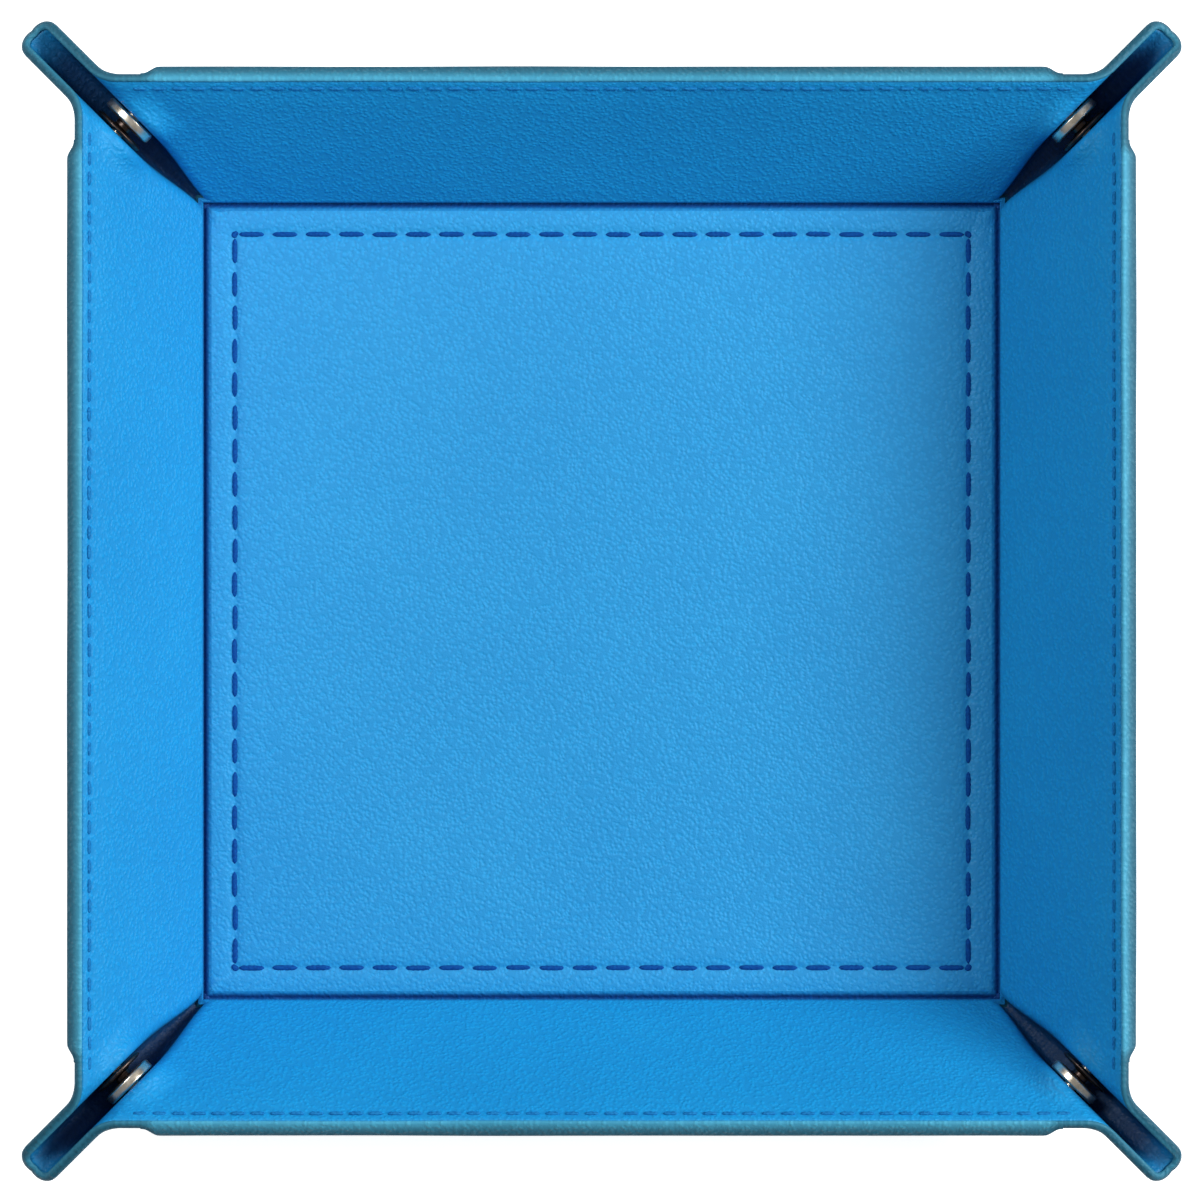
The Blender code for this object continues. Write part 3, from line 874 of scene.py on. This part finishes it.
def add_wall(side):
    number = SIDES.index(side)
    matrix = turned_to(side, 1)
    body = f"wall_{side}"
    loops = wall_loops(number, True)
    lining = make(f"lining_{body}", *loft(loops), LINING, matrix, shade=shades(loops))
    loops = wall_loops(number, False)
    cover = make(f"outer_{body}", *loft(loops), OUTER, matrix, shade=shades(loops))
    seam = make(f"stitches_{body}", *rim_stitches(number), RIM_THREAD, matrix, THREAD_ANGLE)
    for piece, slot, node in ((lining, "lining_leather", "lining"), (cover, "outer_leather", "cover"),
                              (seam, "thread", "thread")):
        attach(piece, body)
        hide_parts(f"{body}_{node}")
    loops = lining_strip()
    groove = make(f"lining_fold_{side}", *loft(loops), FOLD, matrix, shade=shades(loops))
    hinge = make(f"outer_fold_{side}", *loft(outer_strip()), OUTER, matrix)
    for piece, slot, reach in ((groove, "lining_leather", GROOVE_HALF * math.cos(TILT / 2)),
                               (hinge, "outer_leather", 1.7)):
        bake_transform(piece)


def add_ear(side, corner, hand, meshes):
    matrix = turned_to(side, hand)
    wall = f"wall_{side}"
    ear = f"ear_{corner}_{side}"
    spine = f"spine_{corner}_{side}"
    on_crease = ear_point(SLOT_HALF + THIN, CREASE_DEPTH, SNAP_ALONG)
    across_crease = ACROSS * -math.sin(TURN / 2) + OUTWARD * math.cos(TURN / 2)
    spine_depth = SPINE_AT - SPINE_RISE * SLOT_HALF + SLOPE * SNAP_ALONG
    on_spine = ear_point(SLOT_HALF, spine_depth, SNAP_ALONG)
    lean = math.atan(SLOPE)
    away = OUTWARD * math.cos(lean) - ALONG * math.sin(lean)
    across_spine = (away - ACROSS) / math.sqrt(2)
    parts = (
        ("corner", wall, ear, on_crease, across_crease * 1.8),
        ("edge", ear, spine, on_spine, across_spine * 1.6),
    )
    layers = (("lining", LINING, "lining_leather"), ("outer", OUTER, "outer_leather"))
    for kind, body_a, body_b, middle, reach in parts:
        for layer, material, slot in layers:
            loops = meshes[layer, kind]
            name = f"{layer}_{kind}_{corner}_{side}"
            piece = make(name, *loft(loops), material, matrix, shade=shades(loops))
            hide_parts(body_b)
            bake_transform(piece)


def add_snap(kind, corner, side, hand, material):
    verts, faces, uvs = turned_mesh(SNAP_SHAPES[kind], closed=kind == "socket")
    place = snap_matrix(side, hand)
    if place.to_3x3().determinant() < 0:
        faces = [tuple(reversed(face)) for face in faces]
    verts = [place @ v for v in verts]
    piece = make(f"{kind}_{corner}", verts, faces, uvs, material, Matrix(), METAL_ANGLE)
    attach(piece, f"ear_{corner}_{side}")
    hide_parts(f"snap_{kind}_{corner}")


def build_object():
    add_floor()
    for node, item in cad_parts.items():
        if node.endswith("_board"):
            item.data.materials.clear()
            item.data.materials.append(BOARD)
    meshes = {}
    for kind, places in (("corner", CORNER_COLUMNS), ("edge", SPINE_COLUMNS)):
        meshes["lining", kind] = corner_loops(lining_profile(), places, False)
        meshes["outer", kind] = corner_loops(outer_profile(THIN), places, True)
    for number, side in enumerate(SIDES):
        add_wall(side)
        add_dimple(side, RIGHT_CORNERS[number])
        for hand, corner in ((1, RIGHT_CORNERS[number]), (-1, RIGHT_CORNERS[number - 1])):
            add_ear(side, corner, hand, meshes)
            if side in ("north", "south"):
                add_snap("cap", corner, side, hand, NICKEL)
                add_snap("socket", corner, side, hand, NICKEL)
            else:
                add_snap("post", corner, side, hand, NICKEL)
                add_snap("stud", corner, side, hand, DARK_METAL)


# ---------------------------------------------------------------- stage, light and camera

def area_light(name, place, size, power):
    """A round light that faces the object."""
    data = bpy.data.lights.new(name, "AREA")
    data.shape = "DISK"
    data.size = size
    data.energy = power
    item = bpy.data.objects.new(name, data)
    item.location = place
    item.rotation_euler = (-Vector(place)).to_track_quat("-Z", "Y").to_euler()
    bpy.context.scene.collection.objects.link(item)


def add_studio_floor():
    """White ground that glows a little, so that it stays white round the tray's soft shadow."""
    reach, drop = 40.0, 0.0004
    corners = [(x * reach, y * reach, -drop) for x, y in ((-1, -1), (1, -1), (1, 1), (-1, 1))]
    mesh = bpy.data.meshes.new("studio_floor")
    mesh.from_pydata(corners, [], [(0, 1, 2, 3)])
    material, _, shader = new_material("pale_floor")
    shader.inputs["Base Color"].default_value = (0.93, 0.93, 0.93, 1)
    shader.inputs["Roughness"].default_value = 0.9
    shader.inputs["Emission Color"].default_value = (1, 1, 1, 1)
    shader.inputs["Emission Strength"].default_value = 0.75
    mesh.materials.append(material)
    floor = bpy.data.objects.new("studio_floor", mesh)
    bpy.context.scene.collection.objects.link(floor)


def add_camera():
    """A long lens, straight above the tray."""
    camera = bpy.data.cameras.new("camera")
    camera.lens = 95
    camera.sensor_width = 36
    item = bpy.data.objects.new("camera", camera)
    item.location = (-0.0003, 0.0002, 0.6035)
    bpy.context.scene.collection.objects.link(item)
    bpy.context.scene.camera = item


def build_stage():
    add_studio_floor()
    world = bpy.data.worlds.new("studio")
    world.use_nodes = True
    sky = world.node_tree.nodes["Background"].inputs
    sky["Color"].default_value = (1.0, 1.0, 1.0, 1)
    sky["Strength"].default_value = 0.20
    bpy.context.scene.world = world
    bpy.context.scene.view_settings.view_transform = "Standard"
    area_light("key", (0.96, 0.16, 0.67), 0.55, 12.8)
    area_light("fill", (-0.26, 0.20, 0.46), 0.20, 1.25)
    add_camera()


build_object()
build_stage()
